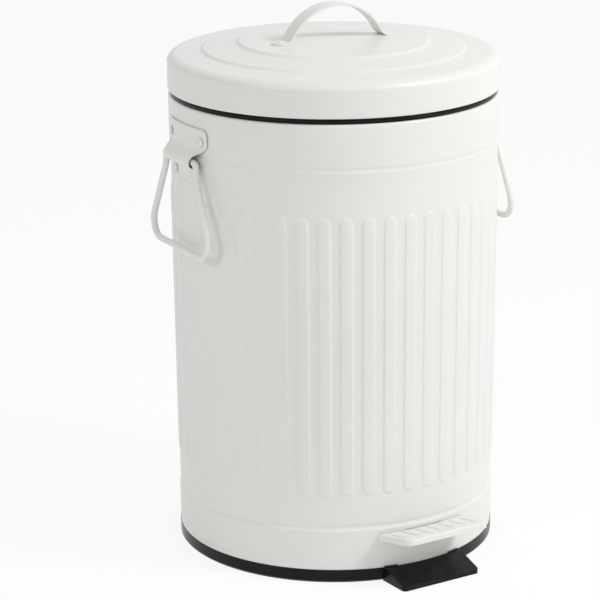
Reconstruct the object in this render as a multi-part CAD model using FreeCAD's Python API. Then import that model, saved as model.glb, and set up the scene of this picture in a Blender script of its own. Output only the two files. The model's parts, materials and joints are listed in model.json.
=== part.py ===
import FreeCAD, Part
import math
import os

# A round step-pedal trash can. Millimetres, Z up, floor at Z = 0, body axis on Z, pedal towards -Y.

# Body shell
body_height = 350.4
body_top_radius = 125.0
body_bottom_radius = 121.5
sheet = 0.8
emboss = 0.65
top_round = 1.8
top_round_shares = (0.5, 0.866)
top_turn_in = 4.0
lower_band = 39.4
upper_band = 36.8
ring_rise = 4.6
rib_count = 48
rib_phase_share = 0.127
rib_width = 8.8
rib_gap_low = 25.0
rib_gap_high = 32.6

# Base tray and front foot
base_height = 10.3
base_proud = 0.3
base_floor = 3.0
base_edge = 1.6
base_upstand = 5.6
base_upstand_wall = 2.0
base_fit = 0.3
foot_reach = 23.6
foot_half_width = 34.3
foot_front_height = 3.0
foot_back_height = 10.5
foot_corner = 3.0
foot_tab_angle = 13.4
foot_tab_half_angle = 2.4
foot_tab_rise = 1.1
foot_tab_thick = 1.5

# Seam and rim collar
seam_height = 4.2
seam_groove = 0.7
seam_bead_low_share = 0.34
seam_bead_high_share = 0.66
seam_bevel_share = 0.05
collar_deck = 3.0
collar_shelf = 5.8
collar_sleeve = 12.0
collar_sleeve_wall = 2.0
collar_fit = 0.35
collar_lip = 5.0

# Lid
lid_overhang = 0.36
lid_skirt = 19.9
lid_shoulder_height = 6.5
lid_shoulder_width = 9.9
lid_shoulder_share = 0.7071
lid_hem = 4.0
lid_step = 1.8
lid_step_run = 3.0
lid_outer_step_share = 0.79
lid_inner_step_share = 0.574
lid_outer_rise = 1.4
lid_inner_rise = 2.8

# Lid strap
strap_width = 14.0
strap_thick = 1.6
strap_radius = 43.5
strap_rise = 27.8
strap_rivet_gap = 0.43
strap_toe = 6.5

# Rivets
rivet_shank = 1.7
rivet_head = 3.5
rivet_head_height = 1.1
rivet_tail_height = 0.9
rivet_tail_share = 0.75
rivet_dome_share = 0.6
rivet_seat_gap = 0.06
inside_seat_gap = 0.2

# Side handles
bail_wire = 5.0
handle_turn_angle = -4.8
bail_below_top = 37.9
bail_offset = 3.4
bail_lean_angle = 2.0
bail_top_half = 25.0
bail_top_bend = 4.5
bail_neck_half = 25.6
bail_neck_drop = 9.0
bail_neck_bend = 19.0
bail_hip_half = 46.0
bail_hip_drop = 52.0
bail_hip_bend = 15.0
bail_bottom_half = 46.6
bail_drop = 68.6
bail_bottom_bend = 12.8
saddle_half = 21.5
saddle_gap = 0.9
saddle_rise = 9.5
saddle_fall = 7.0
bracket_thick = 1.4
bracket_corner = 5.0
corner_share = 0.47
along_share = 0.9
bracket_flange_half = 31.4
bracket_flange_top = 25.2
bracket_shoulder_rise = 11.5
bracket_neck_rise = 6.0
bracket_tab_half = 20.0
bracket_tab_top = 6.0
bracket_tab_low = 16.5
bracket_upper_rivet_side = 24.4
bracket_upper_rivet_rise = 15.5
bracket_lower_rivet_side = 15.0
bracket_lower_rivet_fall = 11.0

# Lid hinge
hinge_offset = 8.0
hinge_rise = 7.4
hinge_pin_radius = 2.0
pin_fit = 0.05
pin_head_radius = 3.2
pin_head_height = 1.4
knuckle_radius = 3.7
knuckle_half = 13.5
knuckle_web = 3.0
ear_inner = 16.0
ear_thick = 2.5
ear_radius = 4.8
ear_clear = 1.6
hinge_plate_thick = 1.6
hinge_plate_half = 14.0
hinge_plate_low = 3.0
hinge_plate_top = 16.0
hinge_rivet_side = 8.5
hinge_rivet_rise = 12.8
bracket_back_half = 23.0
bracket_back_thick = 2.0
bracket_back_top = 4.4
bracket_back_height = 25.0
bracket_back_rivet_side = 9.0
bracket_back_rivet_edge = 6.0

# Lid lever and lift rod
lid_open_angle = 80.0
lever_nose = 3.5
lever_half_thick = 2.5
lever_arm_low = 4.0
lever_arm_high = 13.0
push_gap = 0.85
rod_radius = 2.5
rod_inset = 6.3
rod_fit = 0.08
rod_head_half = 5.0
rod_head_thick = 3.0
rod_head_margin = 0.8
rod_foot_radius = 3.5
rod_foot_thick = 2.5
window_margin = 0.9
window_half = 7.0
guide_half = 8.0
guide_thick = 2.0
guide_tongue = 6.0
guide_plate = 11.0
guide_rivet_fall = 6.0
guide_low = 68.0
guide_below_top = 50.0

# Pedal
pivot_back = 40.0
tail_clear = 7.88
pedal_pin_radius = 2.5
pedal_barrel_radius = 5.0
pedal_slope_angle = 10.2
pedal_lever_half = 14.0
pedal_lever_thick = 3.0
pedal_lever_front = 66.5
pedal_tail_half = 8.0
pedal_nose = 3.0
foot_gap = 0.5
plate_front = 73.66
plate_back = 24.0
plate_front_half = 36.6
plate_back_half = 38.8
plate_thick = 1.5
plate_lip = 4.7
plate_corner = 6.0
plate_top_round = 1.2
plate_edge_share = 0.1
plate_wall_gap = 1.2
grip_count = 7
grip_pitch = 10.4
grip_width = 3.4
grip_height = 0.4
grip_front = 8.5
grip_length = 20.0
slot_side_clear = 2.0
slot_end_clear = 1.4
cheek_gap = 1.0
cheek_thick = 2.5
cheek_half = 9.0
cheek_top_radius = 6.5
screw_shank = 1.5
screw_head = 2.8
screw_head_height = 1.8
screw_bite = 2.2
screw_side = 9.0
screw_step = 9.5
pivot_plate_half = 14.0
pivot_plate_thick = 2.0

# Inner bucket
bucket_fit = 1.0
bucket_taper = 11.8
bucket_bottom = 48.0
bucket_wall = 2.0
bucket_flange_width = 5.5
bucket_flange_thick = 2.0
bucket_wire = 3.5
bucket_pin = 3.0
bucket_lug_height = 7.5
bucket_lug_half = 5.0
bucket_lug_axis = 3.7
bucket_lug_thick = 4.0
bucket_bail_inset = 1.6
bucket_pin_past = 2.0

# Values that follow from the sizes above
lid_base = body_height + seam_height
lid_radius = body_top_radius + lid_overhang
skirt_top = lid_base + lid_skirt
shoulder_top = skirt_top + lid_shoulder_height
lid_top = shoulder_top + lid_outer_rise + lid_step + lid_inner_rise + lid_step
collar_radius = body_top_radius - top_round + seam_groove / 2
hinge_y = body_top_radius + hinge_offset
hinge_z = lid_base + hinge_rise
half_open = math.radians(lid_open_angle) / 2
rod_y = min(body_top_radius, body_bottom_radius) - emboss - sheet - rod_inset
lever_radius = 2 * (hinge_y - rod_y) / (1 + math.cos(half_open))
nose_y = hinge_y - lever_radius * math.cos(half_open)
nose_z = hinge_z - lever_radius * math.sin(half_open)
rod_stroke = 2 * lever_radius * math.sin(half_open)
rod_top = nose_z - lever_nose - push_gap
pivot_y = -(body_bottom_radius - pivot_back)
pivot_height = base_floor + pedal_nose + tail_clear + rod_stroke / 2
rear_arm = rod_y - pivot_y
half_press = math.asin(rod_stroke / 2 / rear_arm)
tail_y = pivot_y + rear_arm * math.cos(half_press)
tail_z = pivot_height - rod_stroke / 2
rod_bottom = tail_z + pedal_nose + foot_gap
window_near = hinge_y - lever_radius - lever_nose - window_margin
window_far = nose_y + lever_nose + window_margin
collar_inner = window_near - collar_shelf
bucket_rim = collar_inner - bucket_fit
bucket_bottom_radius = bucket_rim - bucket_taper
strap_centre = lid_top + strap_rise - strap_radius
strap_leg = math.sqrt(strap_radius ** 2 - (lid_top - strap_centre) ** 2)
strap_rivet_reach = strap_leg + strap_rivet_gap + rivet_head
strap_reach = strap_rivet_reach + strap_toe
bail_z = body_height - bail_below_top
wide = 4 * body_top_radius

Z_AXIS = FreeCAD.Vector(0, 0, 1)
X_AXIS = FreeCAD.Vector(1, 0, 0)
ORIGIN = FreeCAD.Vector(0, 0, 0)


def body_radius(z):
    return body_bottom_radius + (body_top_radius - body_bottom_radius) * z / body_height


def panel_radius(z):
    return body_radius(z) - emboss


def inner_radius(z):
    return panel_radius(z) - sheet


bail_x = body_radius(bail_z) + bail_offset


def save(shape, node):
    shape.exportStep("parts/" + node + ".step")


def polygon(points):
    return Part.Face(Part.makePolygon(points + [points[0]]))


def turned(points):
    # Solid of revolution about Z from (radius, height) points.
    face = polygon([FreeCAD.Vector(r, 0, z) for r, z in points])
    return face.revolve(ORIGIN, Z_AXIS, 360)


def across(points, low, high):
    # Prism along X from (y, z) points.
    face = polygon([FreeCAD.Vector(low, y, z) for y, z in points])
    return face.extrude(FreeCAD.Vector(high - low, 0, 0))


def block(x0, x1, y0, y1, z0, z1):
    return Part.makeBox(x1 - x0, y1 - y0, z1 - z0, FreeCAD.Vector(x0, y0, z0))


def bar_x(radius, x0, x1, y, z):
    return Part.makeCylinder(radius, x1 - x0, FreeCAD.Vector(x0, y, z), X_AXIS)


def bar_z(radius, z0, z1, x, y):
    return Part.makeCylinder(radius, z1 - z0, FreeCAD.Vector(x, y, z0))


def joined(shapes):
    return shapes[0].multiFuse(shapes[1:]).removeSplitter()


def without(shape, tools):
    for tool in tools:
        shape = shape.cut(tool)
    return shape


def around(shape, angle):
    copy = shape.copy()
    copy.rotate(ORIGIN, Z_AXIS, angle)
    return copy


def wall_band(low, high, inner, outer):
    # Ring that follows the wall's taper, from inner to outer offset off the band surface.
    profile = [(body_radius(low) + inner, low), (body_radius(low) + outer, low)]
    profile += [(body_radius(high) + outer, high), (body_radius(high) + inner, high)]
    return turned(profile)


def wall_core(low, high):
    return turned([(0, low), (body_radius(low), low), (body_radius(high), high), (0, high)])


def rounded_window(half, low, high, corner):
    # Prism along +X with a rounded rectangle in Y and Z.
    r = min(corner, half * corner_share, (high - low) * corner_share)
    box = block(0, wide, -half, half, low, high)
    edges = [e for e in box.Edges if abs(e.tangentAt(e.FirstParameter).x) > along_share]
    return box.makeFillet(r, edges)


def rivet(grip):
    # Rivet along X: head outside at X > 0, grip to the inside, upset tail at its end.
    tail = rivet_head * rivet_tail_share
    end = -grip - rivet_tail_height
    points = [(end, 0), (end, tail), (-grip, tail), (-grip, rivet_shank)]
    points += [(0, rivet_shank), (0, rivet_head)]
    vectors = [FreeCAD.Vector(x, y, 0) for x, y in points]
    edges = [Part.makeLine(a, b) for a, b in zip(vectors, vectors[1:])]
    crown = FreeCAD.Vector(rivet_head_height, 0, 0)
    ball = (rivet_head ** 2 + rivet_head_height ** 2) / rivet_head_height / 2
    side_y = rivet_head * rivet_dome_share
    side_x = rivet_head_height - ball + math.sqrt(ball ** 2 - side_y ** 2)
    dome = Part.Arc(vectors[-1], FreeCAD.Vector(side_x, side_y, 0), crown)
    edges.append(dome.toShape())
    edges.append(Part.makeLine(crown, vectors[0]))
    return Part.Face(Part.Wire(edges)).revolve(ORIGIN, X_AXIS, 360)


def wall_rivets(spots, seat, inside):
    # Rivets through the wall at (angle, height); seat and inside are offsets off the band surface.
    out = []
    for angle, z in spots:
        grip = seat - inside + 2 * rivet_seat_gap
        one = rivet(grip)
        one.translate(FreeCAD.Vector(body_radius(z) + seat + rivet_seat_gap, 0, z))
        out.append(around(one, angle))
    return out


def wall_holes(spots):
    out = []
    for angle, z in spots:
        hole = bar_x(rivet_shank, body_bottom_radius / 2, wide, 0, z)
        out.append(around(hole, angle))
    return out


def spot_angle(side, z):
    return math.degrees(side / body_radius(z))


def handle_sides():
    # The two handles face each other, a little turned against the pedal.
    return (("right", handle_turn_angle), ("left", 180 + handle_turn_angle))


def bracket_spots(facing):
    spots = []
    high = bail_z + bracket_upper_rivet_rise
    low = bail_z - bracket_lower_rivet_fall
    for sign in (-1, 1):
        spots.append((facing + sign * spot_angle(bracket_upper_rivet_side, high), high))
        spots.append((facing + sign * spot_angle(bracket_lower_rivet_side, low), low))
    return spots


def hinge_spots():
    top = body_height - bracket_back_top - bracket_back_rivet_edge
    low = body_height - bracket_back_top - bracket_back_height + bracket_back_rivet_edge
    spots = []
    for z in (low, top):
        for sign in (-1, 1):
            spots.append((90 + sign * spot_angle(bracket_back_rivet_side, z), z))
    return spots


def guide_heights():
    return (guide_low, body_height - guide_below_top)


def guide_face():
    return -emboss - sheet - inside_seat_gap - guide_thick


def guide_spots():
    return [(90, z - guide_rivet_fall) for z in guide_heights()]


def rib():
    low = lower_band + ring_rise + rib_gap_low
    high = body_height - upper_band - rib_gap_high
    ring = wall_band(low - rib_width, high + rib_width, -emboss - sheet / 2, 0)
    middle = block(0, wide, -rib_width / 2, rib_width / 2, low + rib_width / 2, high - rib_width / 2)
    ends = [bar_x(rib_width / 2, 0, wide, 0, z) for z in (low + rib_width / 2, high - rib_width / 2)]
    return ring.common(joined([middle] + ends))


def lever_slot():
    half = pedal_lever_half + slot_side_clear
    slope = math.radians(pedal_slope_angle)
    thick = pedal_lever_thick / 2 / math.cos(slope)
    top = pivot_height + pivot_back * math.tan(slope) + thick + slot_end_clear
    bottom = pivot_height + pivot_back * math.tan(slope - 2 * half_press) - thick - slot_end_clear
    return block(-half, half, -wide, 0, bottom, top)


def body_shell():
    ring_low = lower_band + ring_rise
    ring_high = body_height - upper_band
    edge = body_height - top_round
    profile = [(inner_radius(base_height), base_height), (body_radius(base_height), base_height)]
    profile += [(body_radius(lower_band), lower_band), (panel_radius(ring_low), ring_low)]
    profile += [(panel_radius(ring_high), ring_high)]
    profile += [(body_radius(ring_high + ring_rise), ring_high + ring_rise), (body_radius(edge), edge)]
    for share in top_round_shares:
        drop = top_round * (1 - math.sqrt(1 - share * share))
        profile.append((body_radius(edge) - drop, edge + top_round * share))
    turn_in = body_top_radius - top_turn_in
    profile += [(body_radius(edge) - top_round, body_height), (turn_in, body_height)]
    profile += [(turn_in, body_height - sheet)]
    profile += [(inner_radius(body_height - sheet), body_height - sheet)]
    shell = turned(profile)
    one = rib()
    ribs = [around(one, (k + rib_phase_share) * 360 / rib_count) for k in range(rib_count)]
    shell = shell.multiFuse(ribs)
    spots = hinge_spots() + guide_spots()
    for side, facing in handle_sides():
        spots += bracket_spots(facing)
    return without(shell, wall_holes(spots) + [lever_slot()])


def base_tray():
    radius = body_radius(base_height) + base_proud
    inside = inner_radius(base_height) - base_fit
    core = inside - base_upstand_wall
    top = base_height + base_upstand
    profile = [(0, 0), (radius - base_edge, 0), (radius, base_edge), (radius, base_height)]
    profile += [(inside, base_height), (inside, top), (core, top), (core, base_floor), (0, base_floor)]
    return without(turned(profile), screw_holes())


def front_foot():
    radius = body_radius(base_height) + base_proud
    front = -(body_bottom_radius + foot_reach)
    back = -radius / 2
    profile = [(front, 0), (front, foot_front_height), (-radius, foot_back_height)]
    profile += [(back, foot_back_height), (back, 0)]
    foot = across(profile, -foot_half_width, foot_half_width)
    corners = []
    for edge in foot.Edges:
        upright = abs(edge.tangentAt(edge.FirstParameter).z) > along_share
        if upright and edge.CenterOfMass.y < (front - radius) / 2:
            corners.append(edge)
    foot = foot.makeFillet(foot_corner, corners)
    tab_top = base_height + foot_tab_rise
    for sign in (-1, 1):
        start = -90 + sign * foot_tab_angle - foot_tab_half_angle
        ring = turned([(radius / 2, 0), (radius + foot_tab_thick, 0), (radius + foot_tab_thick, tab_top),
                       (radius / 2, tab_top)])
        wedge = Part.makeCylinder(wide, wide, ORIGIN, Z_AXIS, 2 * foot_tab_half_angle)
        foot = foot.fuse(ring.common(around(wedge, start)))
    return foot.removeSplitter().cut(bar_z(radius, -wide, wide, 0, 0))


def rim_collar():
    low, top = body_height, lid_base
    groove = collar_radius - seam_groove
    sleeve = body_top_radius - top_turn_in - collar_fit
    deck = top - collar_deck
    height = top - low
    profile = [(groove, low), (groove, low + height * (seam_bead_low_share - seam_bevel_share))]
    profile += [(collar_radius, low + height * seam_bead_low_share)]
    profile += [(collar_radius, low + height * seam_bead_high_share)]
    profile += [(groove, low + height * (seam_bead_high_share + seam_bevel_share)), (groove, top)]
    profile += [(collar_inner, top), (collar_inner, deck - collar_lip)]
    lip = collar_inner + collar_sleeve_wall
    profile += [(lip, deck - collar_lip), (lip, deck)]
    profile += [(sleeve - collar_sleeve_wall, deck), (sleeve - collar_sleeve_wall, low - collar_sleeve)]
    profile += [(sleeve, low - collar_sleeve), (sleeve, low)]
    window = block(-window_half, window_half, window_near, window_far, 0, wide)
    return turned(profile).cut(window)


def lid_heights():
    z1 = shoulder_top + lid_outer_rise
    z2 = z1 + lid_step
    z3 = z2 + lid_inner_rise
    return z1, z2, z3, z3 + lid_step


def lid_crown(inset):
    # Points of the lid's upper surface from the skirt to the axis, moved inwards by inset.
    z1, z2, z3, z4 = lid_heights()
    half = lid_step_run / 2
    edge = lid_radius - lid_shoulder_width
    points = [(edge, shoulder_top - inset)]
    outer = lid_radius * lid_outer_step_share
    inner = lid_radius * lid_inner_step_share
    points += [(outer + half, z1 - inset), (outer - half, z2 - inset)]
    points += [(inner + half, z3 - inset), (inner - half, z4 - inset), (0, z4 - inset)]
    return points


def lid_shoulder(inset):
    # Arc from the top of the skirt to the shoulder's inner edge.
    edge = lid_radius - lid_shoulder_width
    rise = lid_shoulder_height - inset
    run = lid_shoulder_width - inset
    start = FreeCAD.Vector(lid_radius - inset, 0, skirt_top)
    middle = FreeCAD.Vector(edge + run * lid_shoulder_share, 0, skirt_top + rise * lid_shoulder_share)
    return Part.Arc(start, middle, FreeCAD.Vector(edge, 0, shoulder_top - inset)).toShape()


def chain(points):
    vectors = [FreeCAD.Vector(r, 0, z) for r, z in points]
    return [Part.makeLine(a, b) for a, b in zip(vectors, vectors[1:])]


def lid_shell():
    hem = lid_radius - lid_hem
    outer = [lid_shoulder(0)] + chain(lid_crown(0))
    inner = [lid_shoulder(sheet)] + chain(lid_crown(sheet))
    foot = chain([(lid_radius, skirt_top), (lid_radius, lid_base), (hem, lid_base), (hem, lid_base + sheet),
                  (lid_radius - sheet, lid_base + sheet), (lid_radius - sheet, skirt_top)])
    axis = chain([(0, lid_top), (0, lid_top - sheet)])
    wire = Part.Wire(Part.__sortEdges__(outer + inner + foot + axis))
    lid = Part.Face(wire).revolve(ORIGIN, Z_AXIS, 360)
    holes = [around(hole, handle_turn_angle) for hole in strap_holes()]
    return without(lid, holes + skirt_holes())


def skirt_spots():
    side = math.degrees(hinge_rivet_side / lid_radius)
    return [(90 + sign * side, lid_base + hinge_rivet_rise) for sign in (-1, 1)]


def skirt_holes():
    return wall_holes(skirt_spots())


def strap_holes():
    return [bar_z(rivet_shank, 0, wide, sign * strap_rivet_reach, 0) for sign in (-1, 1)]


def lid_strap():
    start = FreeCAD.Vector(0, -strap_width / 2, strap_centre)
    along = FreeCAD.Vector(0, 1, 0)
    ring = Part.makeCylinder(strap_radius, strap_width, start, along)
    ring = ring.cut(Part.makeCylinder(strap_radius - strap_thick, strap_width, start, along))
    arch = ring.common(block(-wide, wide, -wide, wide, lid_top, wide + lid_top))
    half = strap_width / 2
    parts = [arch]
    for sign in (-1, 1):
        centre_x = sign * (strap_reach - half)
        ends = sorted((sign * (strap_leg - strap_thick / 2), centre_x))
        parts.append(block(ends[0], ends[1], -half, half, lid_top, lid_top + strap_thick))
        parts.append(bar_z(half, lid_top, lid_top + strap_thick, centre_x, 0))
    return around(without(joined(parts), strap_holes()), handle_turn_angle)


def strap_rivets():
    out = []
    for sign in (-1, 1):
        one = rivet(strap_thick + sheet)
        one.rotate(ORIGIN, FreeCAD.Vector(0, 1, 0), -90)
        one.translate(FreeCAD.Vector(sign * strap_rivet_reach, 0, lid_top + strap_thick))
        out.append(around(one, handle_turn_angle))
    return Part.makeCompound(out)


def touch_point(start, side):
    # Where the line from start touches the saddle's crown, on its upper (side 1) or lower (-1) flank.
    radius = bail_wire / 2 + saddle_gap + bracket_thick
    dx, dz = start[0] - bail_x, start[1] - bail_z
    reach = math.hypot(dx, dz)
    turn = math.atan2(dz, dx) - side * math.acos(radius / reach)
    return math.cos(turn), math.sin(turn)


def saddle():
    # Strip that leaves the wall, passes over the wire and returns to the wall.
    outer = bail_wire / 2 + saddle_gap + bracket_thick
    inner = outer - bracket_thick
    face = body_radius(bail_z) + bracket_thick
    half = bracket_flange_half
    solids = []
    for radius, back in ((outer, 0), (inner, bracket_thick)):
        points = []
        for side, z in ((1, bail_z + saddle_rise), (-1, bail_z - saddle_fall)):
            nx, nz = touch_point((face, z), side)
            foot = (face - back * nx, z - back * nz)
            points.append(((bail_x + radius * nx, bail_z + radius * nz), foot))
        (up, up_foot), (down, down_foot) = points
        run = [(0, up_foot[1]), up_foot, up]
        vectors = [FreeCAD.Vector(x, -half, z) for x, z in run]
        edges = [Part.makeLine(a, b) for a, b in zip(vectors, vectors[1:])]
        crown = FreeCAD.Vector(bail_x + radius, -half, bail_z)
        end = FreeCAD.Vector(down[0], -half, down[1])
        edges.append(Part.Arc(vectors[-1], crown, end).toShape())
        run = [down, down_foot, (0, down_foot[1]), (0, up_foot[1])]
        vectors = [FreeCAD.Vector(x, -half, z) for x, z in run]
        edges += [Part.makeLine(a, b) for a, b in zip(vectors, vectors[1:])]
        solids.append(Part.Face(Part.Wire(edges)).extrude(FreeCAD.Vector(0, 2 * half, 0)))
    return solids


def bracket_outline():
    # Prism along +X with the plate's front outline: wide flange, shoulders, narrow saddle.
    top = bail_z + bracket_flange_top
    low = bail_z - saddle_fall
    neck = bail_z + bracket_neck_rise
    side = [(bracket_flange_half, top), (bracket_flange_half, bail_z + bracket_shoulder_rise)]
    side += [(saddle_half, neck), (saddle_half, low)]
    points = side + [(-y, z) for y, z in reversed(side)]
    prism = polygon([FreeCAD.Vector(0, y, z) for y, z in points]).extrude(FreeCAD.Vector(wide, 0, 0))
    corners = []
    for edge in prism.Edges:
        lengthwise = abs(edge.tangentAt(edge.FirstParameter).x) > along_share
        if lengthwise and edge.CenterOfMass.z > (neck + low) / 2:
            corners.append(edge)
    return prism.makeFillet(bracket_corner, corners)


def handle_bracket():
    outline = bracket_outline()
    crease = bail_z + saddle_rise - bracket_thick / 2
    flange = wall_band(crease, bail_z + bracket_flange_top, 0, bracket_thick).common(outline)
    low, top = bail_z - bracket_tab_low, bail_z - bracket_tab_top
    tab = wall_band(low, top, 0, bracket_thick)
    tab = tab.common(rounded_window(bracket_tab_half, low, top, bracket_corner))
    over, under = saddle()
    strip = over.cut(under).cut(wall_core(0, body_height)).common(outline)
    bracket = joined([flange, strip, tab])
    return without(bracket, wall_holes(bracket_spots(0)))


def bail():
    # Closed wire loop: axle on top, two legs that widen downwards and the grip; it leans off the wall.
    leg = [(bail_top_half, 0, bail_top_bend), (bail_neck_half, -bail_neck_drop, bail_neck_bend)]
    leg += [(bail_hip_half, -bail_hip_drop, bail_hip_bend), (bail_bottom_half, -bail_drop, bail_bottom_bend)]
    corners = leg + [(-y, z, r) for y, z, r in reversed(leg)]
    points = [FreeCAD.Vector(bail_x, y, bail_z + z) for y, z, r in corners]
    bends = [r for y, z, r in corners]
    count = len(points)
    arcs = []
    for k in range(count):
        here = points[k]
        before = (points[k - 1] - here).normalize()
        after = (points[(k + 1) % count] - here).normalize()
        half = before.getAngle(after) / 2
        reach = bends[k] / math.tan(half)
        middle = (before + after).normalize()
        deep = bends[k] / math.sin(half) - bends[k]
        arcs.append((here + before * reach, here + middle * deep, here + after * reach))
    edges = []
    for k in range(count):
        edges.append(Part.Arc(*arcs[k]).toShape())
        edges.append(Part.makeLine(arcs[k][2], arcs[(k + 1) % count][0]))
    path = Part.Wire(edges)
    start = arcs[0][0]
    lead = (arcs[0][0] - arcs[-1][2]).normalize()
    ring = Part.Wire(Part.makeCircle(bail_wire / 2, start, lead))
    loop = path.makePipeShell([ring], True, True)
    loop.rotate(FreeCAD.Vector(bail_x, 0, bail_z), FreeCAD.Vector(0, -1, 0), bail_lean_angle)
    return loop


def lid_hinge_plate():
    low = lid_base + hinge_plate_low
    top = lid_base + hinge_plate_top
    outer = lid_radius + hinge_plate_thick
    ring = turned([(lid_radius, low), (outer, low), (outer, top), (lid_radius, top)])
    plate = ring.common(block(-hinge_plate_half, hinge_plate_half, 0, wide, low, top))
    web = block(-knuckle_half, knuckle_half, lid_radius - lid_hem, hinge_y,
                hinge_z - knuckle_web / 2, hinge_z + knuckle_web / 2)
    web = web.cut(bar_z(lid_radius, 0, wide, 0, 0))
    barrel = bar_x(knuckle_radius, -knuckle_half, knuckle_half, hinge_y, hinge_z)
    body = joined([plate, web, barrel])
    bore = bar_x(hinge_pin_radius + pin_fit, -wide, wide, hinge_y, hinge_z)
    return without(body, [bore] + skirt_holes())


def lid_lever():
    low = lid_base + lever_arm_low
    top = lid_base + lever_arm_high + lever_nose
    outer = lid_radius - sheet - inside_seat_gap
    inner = outer - hinge_plate_thick
    ring = turned([(inner, low), (outer, low), (outer, top), (inner, top)])
    plate = ring.common(block(-hinge_plate_half, hinge_plate_half, 0, wide, low, top))
    high = lid_base + lever_arm_high
    near = nose_y - lever_nose
    far = nose_y + lever_nose
    web = (inner + outer) / 2
    profile = [(near, nose_z), (far, nose_z), (far, low), (web, low), (web, high), (near, high)]
    arm = across(profile, -lever_half_thick, lever_half_thick)
    nose = bar_x(lever_nose, -lever_half_thick, lever_half_thick, nose_y, nose_z)
    return without(joined([plate, arm, nose]), skirt_holes())


def lid_hinge_rivets():
    out = []
    grip = 2 * hinge_plate_thick + sheet + inside_seat_gap + 2 * rivet_seat_gap
    for angle, z in skirt_spots():
        one = rivet(grip)
        one.translate(FreeCAD.Vector(lid_radius + hinge_plate_thick + rivet_seat_gap, 0, z))
        out.append(around(one, angle))
    return Part.makeCompound(out)


def hinge_bracket():
    top = body_height - bracket_back_top
    low = top - bracket_back_height
    ring = wall_band(low, top, 0, bracket_back_thick)
    plate = ring.common(block(-bracket_back_half, bracket_back_half, 0, wide, low, top))
    clear = lid_radius + ear_clear
    profile = [(0, low), (body_radius(low) + bracket_back_thick, low)]
    profile += [(hinge_y + ear_radius, hinge_z - ear_radius), (hinge_y + ear_radius, hinge_z)]
    profile += [(hinge_y - ear_radius, hinge_z), (clear, hinge_z - ear_radius)]
    profile += [(clear, top), (0, top)]
    parts = [plate]
    for sign in (-1, 1):
        ends = sorted((sign * ear_inner, sign * (ear_inner + ear_thick)))
        ear = across(profile, ends[0], ends[1])
        parts.append(ear.cut(wall_core(0, body_height)))
        parts.append(bar_x(ear_radius, ends[0], ends[1], hinge_y, hinge_z))
    bore = bar_x(hinge_pin_radius, -wide, wide, hinge_y, hinge_z)
    return without(joined(parts), [bore] + wall_holes(hinge_spots()))


def headed_pin(radius, half, y, z):
    parts = [bar_x(radius, -half, half, y, z)]
    parts.append(bar_x(pin_head_radius, half, half + pin_head_height, y, z))
    parts.append(bar_x(pin_head_radius, -half - pin_head_height, -half, y, z))
    return joined(parts)


def hinge_pin():
    return headed_pin(hinge_pin_radius, ear_inner + ear_thick, hinge_y, hinge_z)


def rod_head_span():
    near = hinge_y - lever_radius - rod_head_margin - lever_nose / 2
    far = nose_y + rod_head_margin + lever_nose / 2
    return near, far


def lift_rod():
    near, far = rod_head_span()
    head_low = rod_top - rod_head_thick
    rod = bar_z(rod_radius, rod_bottom, head_low, 0, rod_y)
    head = block(-rod_head_half, rod_head_half, near, far, head_low, rod_top)
    foot = bar_z(rod_foot_radius, rod_bottom, rod_bottom + rod_foot_thick, 0, rod_y)
    return joined([rod, head, foot])


def rod_guide(z):
    inner = inner_radius(z) - inside_seat_gap - guide_thick
    face = -emboss - sheet - inside_seat_gap
    ring = wall_band(z - guide_plate, z, face - guide_thick, face)
    plate = ring.common(block(-guide_half, guide_half, 0, wide, z - guide_plate, z))
    end = inner + guide_thick / 2
    tongue = block(-guide_half, guide_half, rod_y - guide_tongue, end, z - guide_thick, z)
    bore = bar_z(rod_radius + rod_fit, 0, wide, 0, rod_y)
    return without(joined([plate, tongue]), [bore] + wall_holes(guide_spots()))


def pivot_bracket():
    inner = pedal_lever_half + cheek_gap
    outer = inner + cheek_thick
    low = base_floor
    near, far = pivot_y - pivot_plate_half, pivot_y + pivot_plate_half
    parts = [block(-outer, outer, near, far, low, low + pivot_plate_thick)]
    near, far = pivot_y - cheek_half, pivot_y + cheek_half
    for sign in (-1, 1):
        ends = sorted((sign * inner, sign * outer))
        parts.append(block(ends[0], ends[1], near, far, low, pivot_height / 2))
        wedge = [(near, pivot_height / 2), (far, pivot_height / 2)]
        wedge += [(pivot_y + cheek_top_radius, pivot_height), (pivot_y - cheek_top_radius, pivot_height)]
        parts.append(across(wedge, ends[0], ends[1]))
        parts.append(bar_x(cheek_top_radius, ends[0], ends[1], pivot_y, pivot_height))
    bore = bar_x(pedal_pin_radius, -wide, wide, pivot_y, pivot_height)
    return without(joined(parts), [bore] + screw_holes())


def screw_spots():
    return [(i * screw_side, pivot_y + j * screw_step) for i in (-1, 1) for j in (-1, 1)]


def screw_holes():
    return [bar_z(screw_shank, base_floor - screw_bite, wide, x, y) for x, y in screw_spots()]


def pivot_screws():
    out = []
    seat = base_floor + pivot_plate_thick
    for x, y in screw_spots():
        shank = bar_z(screw_shank, base_floor - screw_bite, seat, x, y)
        head = bar_z(screw_head, seat, seat + screw_head_height, x, y)
        out.append(joined([shank, head]))
    return Part.makeCompound(out)


def pedal_pin():
    return headed_pin(pedal_pin_radius, pedal_lever_half + cheek_gap + cheek_thick, pivot_y, pivot_height)


def tilted(shape):
    # From the flat pedal layout, with the pivot at the origin, to its place on the bin.
    shape.rotate(ORIGIN, X_AXIS, -pedal_slope_angle)
    shape.translate(FreeCAD.Vector(0, pivot_y, pivot_height))
    return shape


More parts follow.
